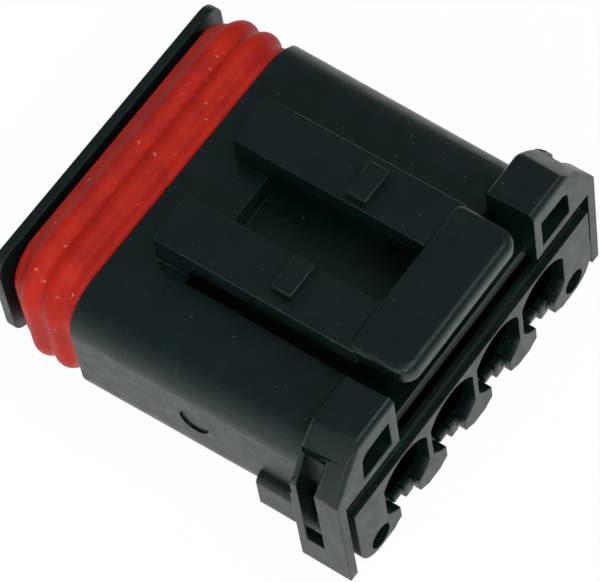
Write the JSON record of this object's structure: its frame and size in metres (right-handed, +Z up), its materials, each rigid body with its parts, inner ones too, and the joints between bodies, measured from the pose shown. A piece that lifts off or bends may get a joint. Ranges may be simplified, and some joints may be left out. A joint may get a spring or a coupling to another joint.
{
  "type": "sealed multiway wire connector",
  "caption": "Flat sealed wire connector half with ring seal, snap holders, sprung latch with thumb bar and a row of wire ways.",
  "frame": {"origin": "middle of the outline in X and Y, on the plane that the feet and the seal rib stand on", "axes": "+Y towards the wires, -Y towards the mating half, +Z up through the latch, X along the row of ways"},
  "size_m": [0.022, 0.0226, 0.0113],
  "materials": {
    "black_plastic": "satin moulded glass-filled plastic, black",
    "red_silicone": "smooth red silicone rubber",
    "tin_plate": "bright tin-plated copper alloy strip"
  },
  "bodies": {
    "body": {"housing": "black_plastic", "ring_seal": "red_silicone", "rear_holder": "black_plastic", "contact_1": "tin_plate", "contact_2": "tin_plate", "contact_3": "tin_plate", "contact_4": "tin_plate"},
    "latch": {"latch_lever": "black_plastic"},
    "holder": {"front_holder": "black_plastic"}
  },
  "joints": [
    {"name": "latch_press", "type": "hinge", "parent": "body", "child": "latch", "pos_m": [0, -0.00208, 0.01005], "axis": [-1, 0, 0], "range_deg": [0, 6.5], "stiffness_Nm_per_rad": 0.02},
    {"name": "holder_slide", "type": "slide", "parent": "body", "child": "holder", "axis": [0, -1, 0], "range_m": [0, 0.0012]}
  ]
}
